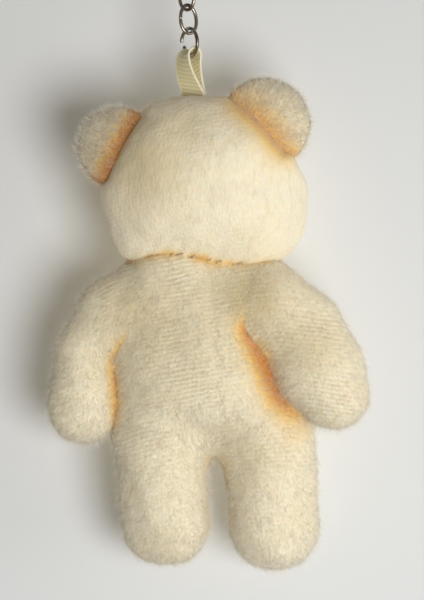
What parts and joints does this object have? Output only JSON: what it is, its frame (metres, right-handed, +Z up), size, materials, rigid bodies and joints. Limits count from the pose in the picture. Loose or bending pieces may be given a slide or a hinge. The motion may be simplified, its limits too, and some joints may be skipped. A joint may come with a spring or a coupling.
{
  "type": "plush keychain",
  "caption": "Small cream teddy bear hanging by a ribbon loop and a short link chain from a split ring that holds keys or clips to a bag.",
  "frame": {"origin": "centre of the split ring, which holds the object up", "axes": "+Z up along the hanging chain; the bear faces -Y, so its left side is on +X"},
  "size_m": [0.0761, 0.0436, 0.1818],
  "materials": {
    "nickel_steel": "nickel-plated wire, polished, a little worn",
    "ribbon": "grosgrain ribbon, yellowish cream, matt",
    "head_plush": "short cream pile, brushed",
    "body_plush": "short cream pile on a ribbed knit",
    "stuffing": "white polyester fibre",
    "neck_thread": "hand-sewn thread",
    "embroidery": "satin stitch, dark brown",
    "bead": "black, glossy"
  },
  "bodies": {
    "split_ring": {"split_ring": "nickel_steel"},
    "chain_link_1": {"chain_link_1": "nickel_steel"},
    "chain_link_2": {"chain_link_2": "nickel_steel"},
    "chain_link_3": {"chain_link_3": "nickel_steel"},
    "chain_link_4": {"chain_link_4": "nickel_steel"},
    "jump_ring": {"jump_ring": "nickel_steel"},
    "ribbon_loop": {"ribbon_loop": "ribbon"},
    "head": {"head_back_panel": "head_plush", "head_front_panel": "head_plush", "head_stuffing": "stuffing", "muzzle": "head_plush", "nose": "embroidery", "mouth_stitching": "embroidery", "eye_left": "bead", "eye_right": "bead"},
    "ear_left": {"ear_left_back_panel": "head_plush", "ear_left_front_panel": "head_plush"},
    "ear_right": {"ear_right_back_panel": "head_plush", "ear_right_front_panel": "head_plush"},
    "torso": {"torso_back_panel": "body_plush", "torso_front_panel": "body_plush", "torso_stuffing": "stuffing", "neck_stitching": "neck_thread"},
    "arm_left": {"arm_left_back_panel": "body_plush", "arm_left_front_panel": "body_plush", "arm_left_stuffing": "stuffing"},
    "arm_right": {"arm_right_back_panel": "body_plush", "arm_right_front_panel": "body_plush", "arm_right_stuffing": "stuffing"},
    "leg_left": {"leg_left_back_panel": "body_plush", "leg_left_front_panel": "body_plush", "leg_left_stuffing": "stuffing"},
    "leg_right": {"leg_right_back_panel": "body_plush", "leg_right_front_panel": "body_plush", "leg_right_stuffing": "stuffing"}
  },
  "joints": [
    {"name": "link_1_swing", "type": "hinge", "parent": "split_ring", "child": "chain_link_1", "pos_m": [0, 0, -0.01155], "axis": [0.766, 0.6428, 0], "range_deg": [-30, 30]},
    {"name": "link_2_swing", "type": "hinge", "parent": "chain_link_1", "child": "chain_link_2", "pos_m": [0, 0, -0.0165], "axis": [0.6428, -0.766, 0], "range_deg": [-25, 25]},
    {"name": "link_3_swing", "type": "hinge", "parent": "chain_link_2", "child": "chain_link_3", "pos_m": [0, 0, -0.0224], "axis": [0.7071, 0.7071, 0], "range_deg": [-25, 25]},
    {"name": "link_4_swing", "type": "hinge", "parent": "chain_link_3", "child": "chain_link_4", "pos_m": [0, 0, -0.0283], "axis": [0.7986, -0.6018, 0], "range_deg": [-25, 25]},
    {"name": "jump_ring_swing", "type": "hinge", "parent": "chain_link_4", "child": "jump_ring", "pos_m": [0, 0, -0.0342], "axis": [0.866, 0.5, 0], "range_deg": [-25, 25]},
    {"name": "ribbon_swing", "type": "hinge", "parent": "jump_ring", "child": "ribbon_loop", "pos_m": [0, 0, -0.0399], "axis": [0.5446, -0.8387, 0], "range_deg": [-15, 15]},
    {"name": "ribbon_flex", "type": "hinge", "parent": "ribbon_loop", "child": "head", "pos_m": [0, 0, -0.0499], "axis": [0.9397, -0.342, 0], "range_deg": [-15, 15]},
    {"name": "neck_nod", "type": "hinge", "parent": "head", "child": "torso", "pos_m": [0.0005, 0, -0.0907], "axis": [1, 0, 0], "range_deg": [-8, 8], "stiffness_Nm_per_rad": 0.02, "deforming": ["neck_stitching"]},
    {"name": "ear_left_fold", "type": "hinge", "parent": "head", "child": "ear_left", "pos_m": [0.0188, 0.0035, -0.0615], "axis": [0.5664, 0, -0.8241], "range_deg": [-12, 12], "stiffness_Nm_per_rad": 0.002},
    {"name": "ear_right_fold", "type": "hinge", "parent": "head", "child": "ear_right", "pos_m": [-0.0178, 0.0035, -0.0579], "axis": [0.6225, 0, 0.7826], "range_deg": [-12, 12], "stiffness_Nm_per_rad": 0.002},
    {"name": "arm_left_lift", "type": "hinge", "parent": "torso", "child": "arm_left", "pos_m": [0.0275, 0.002, -0.106], "axis": [0, -1, 0], "range_deg": [0, 40], "stiffness_Nm_per_rad": 0.004},
    {"name": "arm_right_lift", "type": "hinge", "parent": "torso", "child": "arm_right", "pos_m": [-0.0215, 0.006, -0.109], "axis": [0, 1, 0], "range_deg": [0, 40], "stiffness_Nm_per_rad": 0.004},
    {"name": "leg_left_swing", "type": "hinge", "parent": "torso", "child": "leg_left", "pos_m": [0.0144, 0, -0.141], "axis": [-1, 0, 0], "range_deg": [-15, 25], "stiffness_Nm_per_rad": 0.006},
    {"name": "leg_right_swing", "type": "hinge", "parent": "torso", "child": "leg_right", "pos_m": [-0.0129, 0, -0.141], "axis": [-1, 0, 0], "range_deg": [-15, 25], "stiffness_Nm_per_rad": 0.006}
  ]
}
